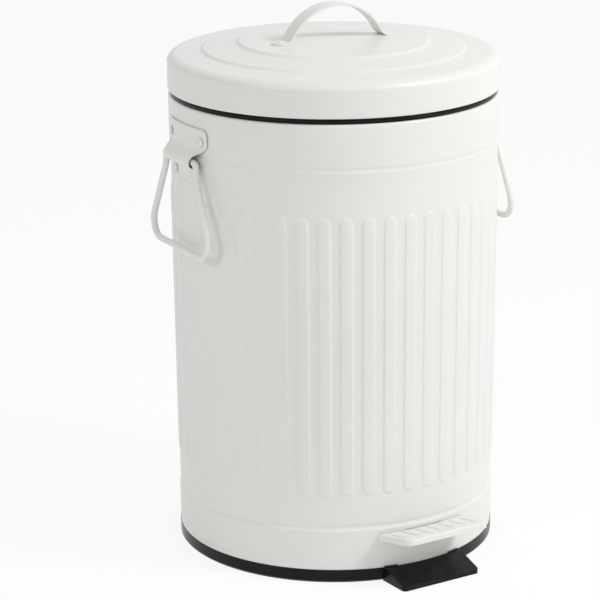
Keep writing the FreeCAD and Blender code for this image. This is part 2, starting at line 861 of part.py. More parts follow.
def pedal_lever():
    half = pedal_lever_thick / 2
    front = tilted(block(-pedal_lever_half, pedal_lever_half, -pedal_lever_front, 0, -half, half))
    tail = block(-pedal_tail_half, pedal_tail_half, 0, rear_arm, -half, half)
    tail.rotate(ORIGIN, X_AXIS, -math.degrees(half_press))
    tail.translate(FreeCAD.Vector(0, pivot_y, pivot_height))
    barrel = bar_x(pedal_barrel_radius, -pedal_lever_half, pedal_lever_half, pivot_y, pivot_height)
    nose = bar_x(pedal_nose, -pedal_tail_half, pedal_tail_half, tail_y, tail_z)
    bore = bar_x(pedal_pin_radius + pin_fit, -wide, wide, pivot_y, pivot_height)
    return joined([front, tail, barrel, nose]).cut(bore)


def plate_outline(inset, low, high):
    # Tapered step plate with round front corners, drawn flat.
    front = -(plate_front - inset)
    wide_front = plate_front_half - inset
    wide_back = plate_back_half - inset
    points = [(-wide_front, front), (wide_front, front)]
    points += [(wide_back, -plate_back), (-wide_back, -plate_back)]
    face = polygon([FreeCAD.Vector(x, y, low) for x, y in points])
    solid = face.extrude(FreeCAD.Vector(0, 0, high - low))
    corners = []
    for edge in solid.Edges:
        upright = abs(edge.tangentAt(edge.FirstParameter).z) > along_share
        if upright and edge.CenterOfMass.y < (front - plate_back) / 2:
            corners.append(edge)
    return solid.makeFillet(plate_corner - inset, corners)


def pedal_plate():
    skin = pedal_lever_thick / 2
    top = skin + plate_thick
    outer = plate_outline(0, top - plate_lip, top)
    rim = []
    for edge in outer.Edges:
        upper = abs(edge.BoundBox.ZMin - top) < plate_thick * plate_edge_share
        if upper and edge.CenterOfMass.y < -plate_back - plate_thick:
            rim.append(edge)
    outer = outer.makeFillet(plate_top_round, rim)
    hollow = plate_outline(plate_thick, top - 2 * plate_lip, skin)
    half = plate_back_half - plate_thick
    back = block(-half, half, -plate_back - plate_thick, 0, top - 2 * plate_lip, skin)
    plate = outer.cut(hollow).cut(back)
    bars = [plate]
    for k in range(grip_count):
        x = (k - (grip_count - 1) / 2) * grip_pitch
        near = -(plate_front - grip_front)
        bars.append(block(x - grip_width / 2, x + grip_width / 2, near, near + grip_length,
                          top - plate_thick / 2, top + grip_height))
    plate = tilted(joined(bars))
    level = pivot_height + pivot_back * math.tan(math.radians(pedal_slope_angle))
    reach = body_radius(level) + plate_wall_gap
    return plate.cut(bar_z(reach, -wide, wide, 0, 0))


def inner_bucket():
    low = bucket_bottom
    deck = lid_base
    top = deck + bucket_flange_thick
    rim = bucket_rim
    flange = rim + bucket_flange_width
    profile = [(0, low), (bucket_bottom_radius, low), (rim, deck), (flange, deck), (flange, top)]
    profile += [(rim - bucket_wall, top), (bucket_bottom_radius - bucket_wall, low + bucket_wall)]
    profile += [(0, low + bucket_wall)]
    parts = [turned(profile)]
    for sign in (-1, 1):
        ends = sorted((sign * (rim - bucket_wall), sign * (rim - bucket_wall + bucket_lug_thick)))
        root = deck + bucket_flange_thick / 2
        tip = top + bucket_lug_height
        parts.append(block(ends[0], ends[1], -bucket_lug_half, bucket_lug_half, root, tip))
    bucket = joined(parts)
    return bucket.cut(bar_x(bucket_pin / 2 + rod_fit, -wide, wide, 0, top + bucket_lug_axis))


def bucket_bail():
    rim = bucket_rim
    radius = rim + bucket_flange_width - bucket_bail_inset
    wire = bucket_wire / 2
    z = lid_base + bucket_flange_thick + bucket_lug_axis
    centre = FreeCAD.Vector(0, 0, z)
    ring = Part.makeTorus(radius, wire, centre, Z_AXIS)
    parts = [ring.common(block(-wide, wide, -wide, wire, 0, wide))]
    tip = rim - bucket_wall - bucket_pin_past
    for sign in (-1, 1):
        ends = sorted((sign * tip, sign * radius))
        parts.append(bar_x(bucket_pin / 2, ends[0], ends[1], 0, z))
    return joined(parts)


def build():
    os.makedirs("parts", exist_ok=True)
    save(body_shell(), "body_shell")
    save(base_tray(), "base_tray")
    save(front_foot(), "front_foot")
    save(rim_collar(), "rim_collar")
    save(lid_shell(), "lid_shell")
    save(lid_strap(), "lid_strap")
    save(strap_rivets(), "lid_strap_rivets")
    save(lid_hinge_plate(), "lid_hinge_plate")
    save(lid_lever(), "lid_lever")
    save(lid_hinge_rivets(), "lid_hinge_rivets")
    save(hinge_bracket(), "hinge_bracket")
    rivets = wall_rivets(hinge_spots(), bracket_back_thick, -emboss - sheet)
    save(Part.makeCompound(rivets), "hinge_bracket_rivets")
    save(hinge_pin(), "hinge_pin")
    bracket = handle_bracket()
    loop = bail()
    for side, facing in handle_sides():
        save(around(bracket, facing), side + "_bracket")
        rivets = wall_rivets(bracket_spots(facing), bracket_thick, -emboss - sheet)
        save(Part.makeCompound(rivets), side + "_bracket_rivets")
        save(around(loop, facing), side + "_bail")
    save(lift_rod(), "lift_rod")
    save(Part.makeCompound([rod_guide(z) for z in guide_heights()]), "rod_guides")
    save(Part.makeCompound(wall_rivets(guide_spots(), -emboss, guide_face())), "rod_guide_rivets")
    save(pivot_bracket(), "pivot_bracket")
    save(pivot_screws(), "pivot_bracket_screws")
    save(pedal_pin(), "pedal_pin")
    save(pedal_lever(), "pedal_lever")
    save(pedal_plate(), "pedal_plate")
    save(inner_bucket(), "inner_bucket")
    save(bucket_bail(), "bucket_bail")


build()
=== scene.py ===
import json
import math

import bmesh
import bpy
from mathutils import Matrix, Vector


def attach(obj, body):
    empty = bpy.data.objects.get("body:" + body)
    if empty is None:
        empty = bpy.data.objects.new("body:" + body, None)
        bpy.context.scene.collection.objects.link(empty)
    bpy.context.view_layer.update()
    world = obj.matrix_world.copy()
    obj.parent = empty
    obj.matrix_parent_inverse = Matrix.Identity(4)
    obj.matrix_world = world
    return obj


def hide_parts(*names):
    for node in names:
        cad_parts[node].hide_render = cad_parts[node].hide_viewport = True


# Looks of a round step-pedal trash can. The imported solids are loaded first. Lengths below are in
# millimetres and repeat the named sizes of the part's source, so that each piece lies where its
# solid lies.

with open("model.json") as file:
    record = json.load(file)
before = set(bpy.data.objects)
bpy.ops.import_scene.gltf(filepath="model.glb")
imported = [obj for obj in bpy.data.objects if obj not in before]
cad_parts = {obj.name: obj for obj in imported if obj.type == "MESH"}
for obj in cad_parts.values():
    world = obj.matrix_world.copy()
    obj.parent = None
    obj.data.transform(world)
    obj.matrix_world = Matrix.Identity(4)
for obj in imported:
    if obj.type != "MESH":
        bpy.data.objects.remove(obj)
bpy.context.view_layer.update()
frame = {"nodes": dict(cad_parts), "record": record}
nodes = frame["nodes"]

MM = 0.001

# Body shell
BODY_HEIGHT = 350.4
TOP_RADIUS = 125.0
BOTTOM_RADIUS = 121.5
SHEET = 0.8
EMBOSS = 0.65
BASE_HEIGHT = 10.3
LOWER_RING = 39.4
RING_RISE = 4.6
RING_BEND = 2.2
GROOVE = 0.45
GROOVE_HALF = 2.6
LOWER_GROOVE = 43.8
UPPER_GROOVE = 316.9
UPPER_FADE = 14.0
RIB_COUNT = 48
RIB_PHASE = 0.127
RIB_LOW = 69.0
RIB_HIGH = 281.0
RIB_HALF = 4.4
RIB_FLANK = 1.25
TOP_ROUND = 1.8
TURN_IN = 4.0
FRONT_ANGLE = 270.0
SLOT_HALF = 16.0
SLOT_LOW = 26.34
SLOT_MIDDLE = 32.0
SLOT_HIGH = 38.01

# Rows and columns of the body's mesh, apart from those that follow the forms above
BASE_EDGE = 0.6
LOWER_PLAIN_ROWS = (50.0, 58.0, 64.0)
RIB_END_ROW = 2.0
RIB_ROWS = (95.0, 265.0)
UPPER_PLAIN_ROWS = (288.0, 295.0)
FADE_ROWS_END = 313.0
TOP_PLAIN_ROWS = (326.0, 338.0)
INNER_ROWS = (200.0, 60.0)
RIB_CROWN_COLUMN = 1.7
RIB_FOOT_COLUMN = 6.6

# Lid; a step is (radius of its middle, height below it, height above it)
LID_BASE = 354.6
LID_RADIUS = 125.36
LID_SKIRT = 19.9
LID_HEM = 4.0
HEM_ROUND = 1.1
SHOULDER_HEIGHT = 6.5
SHOULDER_WIDTH = 9.9
LID_TOP = 388.8
OUTER_STEP = (99.1, 382.4, 384.2)
INNER_STEP = (72.1, 387.0, LID_TOP)
STEP_RUN = 3.8
INNER_TERRACE = (85.0, 385.55)
OUTER_TERRACE = (108.0, 381.75)
LID_TOP_ROWS = (0.0, 30.0, 60.0)
SKIRT_ROWS = (368.0, 360.0)
LID_SEGMENTS = 288

# Strap and side handles; their plane stands a little turned against the pedal's
HANDLE_TURN = math.radians(-4.8)
STRAP_HALF = 7.0
STRAP_THICK = 1.6
STRAP_ARCH = 43.5
STRAP_TOP = 416.6
STRAP_REACH = 51.0
STRAP_EDGE = 0.45
STRAP_TIP_HALF = 0.5
STRAP_COLUMNS = 9
TOE_CLEAR = 3.2
BEND_BEGIN = 3.0
BEND_OUT = 0.3
BEND_UP = 0.1
BEND_END = 1.9

# Wire of the side handles; a corner of its leg is (sideways, height, bend radius)
WIRE = 2.5
WIRE_SEGMENTS = 20
WIRE_STEP = 6.0
WIRE_GAP = 4.0
BAIL_X = 128.0214
BAIL_Z = 312.5
BAIL_LEAN = math.radians(2.0)
BAIL_LEG = ((25.0, 0.0, 4.5), (25.6, -9.0, 19.0), (46.0, -52.0, 15.0), (46.6, -68.6, 12.8))

# Plates of the side handles and their rivets; a rivet's place is (sideways, height over the wire)
SADDLE_GAP = 0.9
SADDLE_HALF = 21.5
SADDLE_RISE = 9.5
SADDLE_FALL = 7.0
PLATE_THICK = 1.4
PLATE_CORNER = 5.0
PLATE_LIFT = 0.8
PLATE_EDGE = 0.25
PLATE_COLUMNS = 41
PLATE_STEP = 7.0
PLATE_GAP = 0.6
FLANGE_HALF = 31.4
FLANGE_TOP = 25.2
FLANGE_BEND = 5.0
SHOULDER_RISE = 11.5
NECK_RISE = 6.0
SWEEP_MARGIN = 2.0
FLAT_RUN = 4.0
TAB_HALF = 20.0
TAB_LOW = 16.5
TAB_BEND = 1.5
RIVET_SHANK = 1.7
RIVET_HEAD = 3.5
RIVET_DOME = 1.1
RIVET_TAIL = 0.9
RIVET_TAIL_RADIUS = 2.625
RIVET_GAP = 0.06
RIVET_LIFT = 0.42
RIVET_RIM = 0.05
RIVET_SEGMENTS = 32
UPPER_RIVET = (24.4, 15.5)
LOWER_RIVET = (15.0, -11.0)

# Edges: angles in degrees from which an edge is shaded sharp or is rounded
SHEET_SHARP = 50
RIVET_SHARP = 40
EDGE_ANGLE = 40
EDGE_SEGMENTS = 3

# Values of the materials: the used span of a noise, tones, edge radii in metres, and reliefs as
# (depth in metres, strength)
NOISE_LOW = 0.3
NOISE_HIGH = 0.7
CLOUD_HIGH = 0.72
ENAMEL_DARK = (0.810, 0.802, 0.772)
ENAMEL_LIGHT = (0.840, 0.832, 0.804)
ENAMEL_EDGE = 0.0004
SWELL = (0.0004, 0.12)
PEEL = (0.00003, 0.18)
MOULDED_EDGE = 0.0010
ERODED = (0.00006, 0.22)
FINE_GRAIN = (0.00003, 0.15)
ZINC_TINTS = [
    (NOISE_LOW, (0.50, 0.51, 0.53)),
    (0.5, (0.60, 0.60, 0.60)),
    (CLOUD_HIGH, (0.64, 0.62, 0.57)),
]
PLATED_EDGE = 0.0002
DRAWN_LINES = (0.00002, 0.2)


def body_radius(z):
    return BOTTOM_RADIUS + (TOP_RADIUS - BOTTOM_RADIUS) * z / BODY_HEIGHT


def ease(t):
    t = min(max(t, 0.0), 1.0)
    return t * t * (3 - 2 * t)


def steps(low, high, parts):
    return [low + (high - low) * k / parts for k in range(parts + 1)]


# Materials

def node_tree(name):
    mat = bpy.data.materials.new(name)
    mat.use_nodes = True
    tree = mat.node_tree
    tree.nodes.clear()
    out = tree.nodes.new("ShaderNodeOutputMaterial")
    shader = tree.nodes.new("ShaderNodeBsdfPrincipled")
    tree.links.new(shader.outputs["BSDF"], out.inputs["Surface"])
    place = tree.nodes.new("ShaderNodeTexCoord").outputs["Object"]
    return mat, tree, shader, place


def noise(tree, place, scale, detail, rough=0.5, stretch=None):
    if stretch:
        mapping = tree.nodes.new("ShaderNodeMapping")
        mapping.inputs["Scale"].default_value = stretch
        tree.links.new(place, mapping.inputs["Vector"])
        place = mapping.outputs["Vector"]
    node = tree.nodes.new("ShaderNodeTexNoise")
    node.inputs["Scale"].default_value = scale
    node.inputs["Detail"].default_value = detail
    node.inputs["Roughness"].default_value = rough
    tree.links.new(place, node.inputs["Vector"])
    return node.outputs["Fac"]


def ramp(tree, source, stops):
    node = tree.nodes.new("ShaderNodeValToRGB")
    node.color_ramp.elements.remove(node.color_ramp.elements[1])
    for k, (at, colour) in enumerate(stops):
        if k == 0:
            element = node.color_ramp.elements[0]
            element.position = at
        else:
            element = node.color_ramp.elements.new(at)
        element.color = (*colour, 1.0)
    tree.links.new(source, node.inputs["Fac"])
    return node.outputs["Color"]


def spread(tree, source, low, high):
    # Maps the middle of a noise onto the span from low to high.
    node = tree.nodes.new("ShaderNodeMapRange")
    node.inputs["From Min"].default_value = NOISE_LOW
    node.inputs["From Max"].default_value = NOISE_HIGH
    node.inputs["To Min"].default_value = low
    node.inputs["To Max"].default_value = high
    tree.links.new(source, node.inputs["Value"])
    return node.outputs["Result"]


def bump(tree, shader, edge, heights):
    # Hard edges are rounded by the edge radius in metres. Each height is (source, depth in metres,
    # strength); later ones ride on earlier ones.
    bevel = tree.nodes.new("ShaderNodeBevel")
    bevel.inputs["Radius"].default_value = edge
    normal = bevel.outputs["Normal"]
    for source, depth, strength in heights:
        node = tree.nodes.new("ShaderNodeBump")
        node.inputs["Distance"].default_value = depth
        node.inputs["Strength"].default_value = strength
        tree.links.new(source, node.inputs["Height"])
        tree.links.new(normal, node.inputs["Normal"])
        normal = node.outputs["Normal"]
    tree.links.new(normal, shader.inputs["Normal"])


def enamel():
    # Satin off-white enamel on steel: broad, faint tone drift, a little orange peel.
    mat, tree, shader, place = node_tree("satin_enamel")
    drift = noise(tree, place, scale=7.0, detail=3.0)
    colour = ramp(tree, drift, [(NOISE_LOW, ENAMEL_DARK), (NOISE_HIGH, ENAMEL_LIGHT)])
    tree.links.new(colour, shader.inputs["Base Color"])
    patches = noise(tree, place, scale=55.0, detail=4.0)
    tree.links.new(spread(tree, patches, low=0.29, high=0.38), shader.inputs["Roughness"])
    shader.inputs["IOR"].default_value = 1.5
    shader.inputs["Specular IOR Level"].default_value = 0.42
    peel = noise(tree, place, scale=620.0, detail=2.0)
    swell = noise(tree, place, scale=28.0, detail=2.0)
    bump(tree, shader, ENAMEL_EDGE, [(swell, *SWELL), (peel, *PEEL)])
    return mat


def moulded(name, dark, light, rough, gloss, grain):
    # Moulded plastic with a fine eroded grain and soft gloss patches.
    mat, tree, shader, place = node_tree(name)
    clouds = noise(tree, place, scale=38.0, detail=5.0)
    colour = ramp(tree, clouds, [(NOISE_LOW, dark), (CLOUD_HIGH, light)])
    tree.links.new(colour, shader.inputs["Base Color"])
    patches = noise(tree, place, scale=90.0, detail=3.0)
    tree.links.new(spread(tree, patches, *rough), shader.inputs["Roughness"])
    shader.inputs["Specular IOR Level"].default_value = gloss
    cells = tree.nodes.new("ShaderNodeTexVoronoi")
    cells.feature = "SMOOTH_F1"
    cells.inputs["Scale"].default_value = grain
    tree.links.new(place, cells.inputs["Vector"])
    fine = noise(tree, place, scale=2200.0, detail=2.0)
    bump(tree, shader, MOULDED_EDGE, [(cells.outputs["Distance"], *ERODED), (fine, *FINE_GRAIN)])
    return mat


def plated():
    # Zinc-plated steel: fine drawn lines, cloudy passivation tint.
    mat, tree, shader, place = node_tree("zinc_plate")
    clouds = noise(tree, place, scale=46.0, detail=4.0)
    tree.links.new(ramp(tree, clouds, ZINC_TINTS), shader.inputs["Base Color"])
    shader.inputs["Metallic"].default_value = 1.0
    drawn = noise(tree, place, scale=900.0, detail=3.0, rough=0.6, stretch=(1.0, 1.0, 0.04))
    tree.links.new(spread(tree, drawn, low=0.27, high=0.42), shader.inputs["Roughness"])
    bump(tree, shader, PLATED_EDGE, [(drawn, *DRAWN_LINES)])
    return mat


FINISH = {
    "white_paint": enamel(),
    "black_plastic": moulded(
        "black_moulded",
        dark=(0.005, 0.005, 0.0055),
        light=(0.009, 0.009, 0.0095),
        rough=(0.17, 0.27),
        gloss=0.16,
        grain=1500.0,
    ),
    "grey_plastic": moulded(
        "grey_moulded",
        dark=(0.13, 0.13, 0.135),
        light=(0.17, 0.17, 0.175),
        rough=(0.42, 0.55),
        gloss=0.45,
        grain=1100.0,
    ),
    "plated_steel": plated(),
}

for part in frame["record"]["subparts"]:
    for holder in nodes[part["node"]].material_slots:
        holder.material = FINISH[part["material_slot"]]


# Mesh helpers

def turned(point, angle):
    # A point turned about the body axis.
    x, y, z = point
    c, s = math.cos(angle), math.sin(angle)
    return x * c - y * s, x * s + y * c, z


def piece(name, verts, faces, body, slot, *stands_for):
    mesh = bpy.data.meshes.new(name)
    mesh.from_pydata([Vector(v) * MM for v in verts], [], faces)
    mesh.validate()
    mesh.shade_smooth()
    mesh.materials.append(FINISH[slot])
    obj = bpy.data.objects.new(name, mesh)
    bpy.context.scene.collection.objects.link(obj)
    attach(obj, body)
    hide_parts(*stands_for)
    return obj


def outward(obj):
    work = bmesh.new()
    work.from_mesh(obj.data)
    bmesh.ops.recalc_face_normals(work, faces=work.faces)
    work.to_mesh(obj.data)
    work.free()


def sharpen(obj, degrees):
    obj.data.set_sharp_from_angle(angle=math.radians(degrees))


def thicken(obj, thick):
    mod = obj.modifiers.new("thickness", "SOLIDIFY")
    mod.thickness = thick * MM
    mod.offset = -1.0
    mod.use_even_offset = True


def soften(obj, width):
    mod = obj.modifiers.new("edges", "BEVEL")
    mod.width = width * MM
    mod.segments = EDGE_SEGMENTS
    mod.limit_method = "ANGLE"
    mod.angle_limit = math.radians(EDGE_ANGLE)


def grid_faces(rows, cols):
    faces = []
    for i in range(rows - 1):
        for k in range(cols - 1):
            a = i * cols + k
            faces.append((a, a + cols, a + cols + 1, a + 1))
    return faces


def lathe(profile, count):
    # Closed skin of revolution about Z, from an open line of (radius, height) that starts and ends
    # on the axis.
    verts, faces, rows = [], [], []
    for r, z in profile:
        if r <= 0:
            rows.append([len(verts)])
            verts.append((0, 0, z))
        else:
            rows.append(list(range(len(verts), len(verts) + count)))
            for k in range(count):
                verts.append(turned((r, 0, z), 2 * math.pi * k / count))
    for a, b in zip(rows, rows[1:]):
        for k in range(count):
            n = (k + 1) % count
            if len(a) == 1:
                faces.append((a[0], b[k], b[n]))
            elif len(b) == 1:
                faces.append((a[k], b[0], a[n]))
            else:
                faces.append((a[k], b[k], b[n], a[n]))
    return verts, faces


def rounded(corners, step, closed=False):
    # Line through (point, bend radius) corners with arcs at the bends; step is degrees per chord.
    points = []
    count = len(corners)
    for k, (here, radius) in enumerate(corners):
        if radius <= 0 or (not closed and k in (0, count - 1)):
            points.append(here)
            continue
        before = (corners[k - 1][0] - here).normalized()
        after = (corners[(k + 1) % count][0] - here).normalized()
        half = before.angle(after) / 2
        centre = here + (before + after).normalized() * (radius / math.sin(half))
        start = here + before * (radius / math.tan(half)) - centre
        end = here + after * (radius / math.tan(half)) - centre
        turn = start.angle(end)
        parts = max(2, int(math.degrees(turn) / step) + 1)
        for t in steps(0, 1, parts):
            mix = start * math.sin((1 - t) * turn) + end * math.sin(t * turn)
            points.append(centre + mix / math.sin(turn))
    return points


def dense(line, gap, closed=False):
    # The same line with points no further apart than the gap.
    points = []
    ends = line[1:] + line[:1] if closed else line[1:]
    for p, q in zip(line, ends):
        parts = max(1, math.ceil((q - p).length / gap))
        points += [p.lerp(q, k / parts) for k in range(parts)]
    return points if closed else points + [line[-1]]


# Body shell: pressed panel with raised upright ribs between two plain bands, top edge rolled in

RIB_PITCH = 360.0 / RIB_COUNT


def rib_side(angle):
    # Distance along the wall from the middle of the nearest rib.
    share = angle / RIB_PITCH - RIB_PHASE
    off = (share - round(share)) * RIB_PITCH
    return abs(math.radians(off)) * body_radius(BODY_HEIGHT / 2)


def ring_groove(z):
    # Shallow groove along each ring line.
    near = min(abs(z - LOWER_GROOVE), abs(z - UPPER_GROOVE))
    return GROOVE * ease(1 - near / GROOVE_HALF)


def panel_drop(side, z):
    # How far the pressed sheet lies under the surface of the bands.
    skip = (RING_RISE - RING_BEND) / 2
    ring = ease((z - LOWER_RING - skip) / RING_BEND) * ease((UPPER_GROOVE - z) / UPPER_FADE)
    past = max(RIB_LOW + RIB_HALF - z, z - RIB_HIGH + RIB_HALF, 0.0)
    edge = RIB_HALF + RIB_FLANK / 2
    rib = ease((edge - math.hypot(side, past)) / RIB_FLANK)
    return EMBOSS * ring * (1 - rib) + ring_groove(z)


def slot_angles():
    half = math.degrees(math.asin(SLOT_HALF / body_radius(SLOT_LOW)))
    return FRONT_ANGLE - half, FRONT_ANGLE + half


def body_columns():
    # Angles with a fine run across each rib's flanks, and one at each side of the lever slot.
    edge = RIB_FLANK / 2
    flank = steps(RIB_HALF - edge, RIB_HALF + edge, 6)
    across = [0.0, RIB_CROWN_COLUMN] + flank + [RIB_FOOT_COLUMN]
    wall = body_radius(BODY_HEIGHT / 2)
    angles = set(slot_angles())
    for k in range(RIB_COUNT):
        middle = (k + RIB_PHASE) * RIB_PITCH
        angles.add(middle + RIB_PITCH / 2)
        for side in across:
            angles.add(middle + math.degrees(side / wall))
            angles.add(middle - math.degrees(side / wall))
    return sorted(angles)


def body_rows():
    # Heights of the outer skin's rows below the rolled edge, from the base up.
    edge = RIB_FLANK / 2
    rows = [BASE_HEIGHT, BASE_HEIGHT + BASE_EDGE, SLOT_LOW, SLOT_MIDDLE, SLOT_HIGH]
    rows += steps(LOWER_RING, LOWER_GROOVE + GROOVE_HALF, 20)
    rows += LOWER_PLAIN_ROWS
    rows += steps(RIB_LOW - edge, RIB_LOW + edge, 6)
    rows += [RIB_LOW + RIB_END_ROW, RIB_LOW + RIB_HALF]
    rows += steps(*RIB_ROWS, 6)
    rows += [RIB_HIGH - RIB_HALF, RIB_HIGH - RIB_END_ROW]
    rows += steps(RIB_HIGH - edge, RIB_HIGH + edge, 6)
    rows += UPPER_PLAIN_ROWS
    rows += steps(UPPER_GROOVE - UPPER_FADE, FADE_ROWS_END, 5)
    rows += steps(UPPER_GROOVE - GROOVE_HALF, UPPER_GROOVE + GROOVE_HALF, 16)
    rows += TOP_PLAIN_ROWS
    return rows


def body_shell():
    columns = body_columns()
    sides = [rib_side(angle) for angle in columns]
    count = len(columns)
    verts, rows, levels = [], [], []

    def row(radius_at, z):
        rows.append(range(len(verts), len(verts) + count))
        levels.append(z)
        for angle, side in zip(columns, sides):
            verts.append(turned((radius_at(side), 0, z), math.radians(angle)))

    for z in body_rows():
        row(lambda side, z=z: body_radius(z) - panel_drop(side, z), z)
    edge = BODY_HEIGHT - TOP_ROUND
    for a in steps(0, math.pi / 2, 6):
        rim = body_radius(edge) - TOP_ROUND * (1 - math.cos(a))
        row(lambda side, rim=rim: rim, edge + TOP_ROUND * math.sin(a))
    outer_rows = len(rows)
    row(lambda side: TOP_RADIUS - TURN_IN, BODY_HEIGHT)
    row(lambda side: TOP_RADIUS - TURN_IN, BODY_HEIGHT - SHEET)
    inside = [BODY_HEIGHT - SHEET, *INNER_ROWS, SLOT_HIGH, SLOT_MIDDLE, SLOT_LOW, BASE_HEIGHT]
    for z in inside:
        row(lambda side, z=z: body_radius(z) - EMBOSS - SHEET, z)
    first, last = [columns.index(angle) for angle in slot_angles()]
    faces = []
    total = len(rows)
    for i in range(total):
        j = (i + 1) % total
        cut = min(levels[i], levels[j]) >= SLOT_LOW and max(levels[i], levels[j]) <= SLOT_HIGH
        for k in range(count):
            if cut and first <= k < last:
                continue
            n = (k + 1) % count
            faces.append((rows[i][k], rows[i][n], rows[j][n], rows[j][k]))
    # Cut edges of the lever slot
    outer = {z: rows[i] for i, z in enumerate(levels[:outer_rows])}
    inner = {z: rows[i + outer_rows + 2] for i, z in enumerate(inside)}
    for z in (SLOT_LOW, SLOT_HIGH):
        for k in range(first, last):
            faces.append((outer[z][k], outer[z][k + 1], inner[z][k + 1], inner[z][k]))
    levels_cut = [z for z in outer if SLOT_LOW <= z <= SLOT_HIGH]
    for low, high in zip(levels_cut, levels_cut[1:]):
        for k in (first, last):
            faces.append((outer[low][k], outer[high][k], inner[high][k], inner[low][k]))
    obj = piece("body_skin", verts, faces, "bin", "white_paint", "body_shell")
    outward(obj)
    sharpen(obj, SHEET_SHARP)


body_shell()


# Lid: straight skirt with a turned-in hem, rounded shoulder, two soft steps

def soft_step(step):
    middle, low, high = step
    return [(middle + STEP_RUN * (t - 0.5), high + (low - high) * ease(t)) for t in steps(0, 1, 8)]


def lid_shell():
    skirt_top = LID_BASE + LID_SKIRT
    edge = LID_RADIUS - SHOULDER_WIDTH
    top = [(r, LID_TOP) for r in LID_TOP_ROWS]
    top += soft_step(INNER_STEP) + [INNER_TERRACE]
    top += soft_step(OUTER_STEP) + [OUTER_TERRACE]
    shoulder = []
    for a in steps(math.pi / 2, 0, 14):
        out, up = SHOULDER_WIDTH * math.cos(a), SHOULDER_HEIGHT * math.sin(a)
        shoulder.append((edge + out, skirt_top + up))
    outer = top + shoulder + [(LID_RADIUS, z) for z in SKIRT_ROWS]
    for a in steps(0, math.pi / 2, 5):
        bend = HEM_ROUND * (1 - math.cos(a))
        outer.append((LID_RADIUS - bend, LID_BASE + HEM_ROUND * (1 - math.sin(a))))
    hem = LID_RADIUS - LID_HEM
    wall = LID_RADIUS - SHEET
    outer += [(hem, LID_BASE), (hem, LID_BASE + SHEET), (wall - HEM_ROUND / 2, LID_BASE + SHEET)]
    inner = [(wall, LID_BASE + SHEET + HEM_ROUND / 2), (wall, skirt_top)]
    for r, z in reversed(top + shoulder[:-1]):
        inner.append((r - SHEET * ease((r - edge) / SHOULDER_WIDTH), z - SHEET))
    skin = lathe(outer + inner, LID_SEGMENTS)
    obj = piece("lid_skin", *skin, "lid", "white_paint", "lid_shell")
    outward(obj)
    sharpen(obj, SHEET_SHARP)


lid_shell()


# Lid strap: one bent strip with rounded ends

def strap_line():
    # Upper line of the strip in its own plane, from the tip of one foot to the other, as (x, z).
    foot = LID_TOP + STRAP_THICK
    centre = STRAP_TOP - STRAP_ARCH
    knee = math.sqrt(STRAP_ARCH ** 2 - (foot - centre) ** 2)
    start = math.asin((foot - centre) / STRAP_ARCH)
    toe = [STRAP_REACH - STRAP_HALF * (1 - math.cos(a)) for a in steps(0, math.pi / 2, 10)]
    line = [Vector((-x, foot)) for x in toe if x > knee + TOE_CLEAR]
    arch = []
    for a in steps(start, math.pi / 2, 40):
        arch.append(Vector((-STRAP_ARCH * math.cos(a), centre + STRAP_ARCH * math.sin(a))))
    leave = [p for p in arch if p.x > -knee + BEND_END]
    # Concave bend where the strip leaves the lid
    begin = Vector((-knee - BEND_BEGIN, foot))
    bend = Vector((-knee - BEND_OUT, foot + BEND_UP))
    for t in steps(0, 1, 9)[:-1]:
        line.append(begin * (1 - t) ** 2 + bend * 2 * t * (1 - t) + leave[0] * t ** 2)
    line += leave
    return line + [Vector((-p.x, p.y)) for p in reversed(line[:-1])]


def lid_strap():
    verts = []
    line = strap_line()
    for p in line:
        inset = max(STRAP_HALF - (STRAP_REACH - abs(p.x)), 0.0)
        half = max(math.sqrt(STRAP_HALF ** 2 - inset ** 2), STRAP_TIP_HALF)
        for y in steps(-half, half, STRAP_COLUMNS - 1):
            verts.append(turned((p.x, y, p.y), HANDLE_TURN))
    faces = grid_faces(len(line), STRAP_COLUMNS)
    obj = piece("lid_strap_strip", verts, faces, "lid", "white_paint", "lid_strap")
    thicken(obj, STRAP_THICK)
    soften(obj, STRAP_EDGE)


lid_strap()


# Side handles: pressed plate that rolls over the wire, and the wire loop

def plate_line():
    # Outer line of the plate, from its top edge over the wire to the tab's low edge, as (x, 0, z).
    radius = WIRE + SADDLE_GAP + PLATE_THICK
    high, low = BAIL_Z + SADDLE_RISE, BAIL_Z - SADDLE_FALL
    feet = [(body_radius(high) + PLATE_THICK, high, 1), (body_radius(low) + PLATE_THICK, low, -1)]
    bearings = []
    for x, z, side in feet:
        dx, dz = x - BAIL_X, z - BAIL_Z
        bearings.append(math.atan2(dz, dx) - side * math.acos(radius / math.hypot(dx, dz)))
    middle, half = sum(bearings) / 2, (bearings[0] - bearings[1]) / 2
    tip = radius / math.cos(half)
    apex = Vector((BAIL_X + tip * math.cos(middle), 0, BAIL_Z + tip * math.sin(middle)))
    top, bottom = BAIL_Z + FLANGE_TOP, BAIL_Z - TAB_LOW
    corners = [
        (Vector((body_radius(top) + PLATE_THICK, 0, top)), 0),
        (Vector((feet[0][0], 0, high)), FLANGE_BEND),
        (apex, radius),
        (Vector((feet[1][0], 0, low)), TAB_BEND),
        (Vector((body_radius(bottom) + PLATE_THICK, 0, bottom)), 0),
    ]
    return dense(rounded(corners, step=PLATE_STEP), PLATE_GAP)


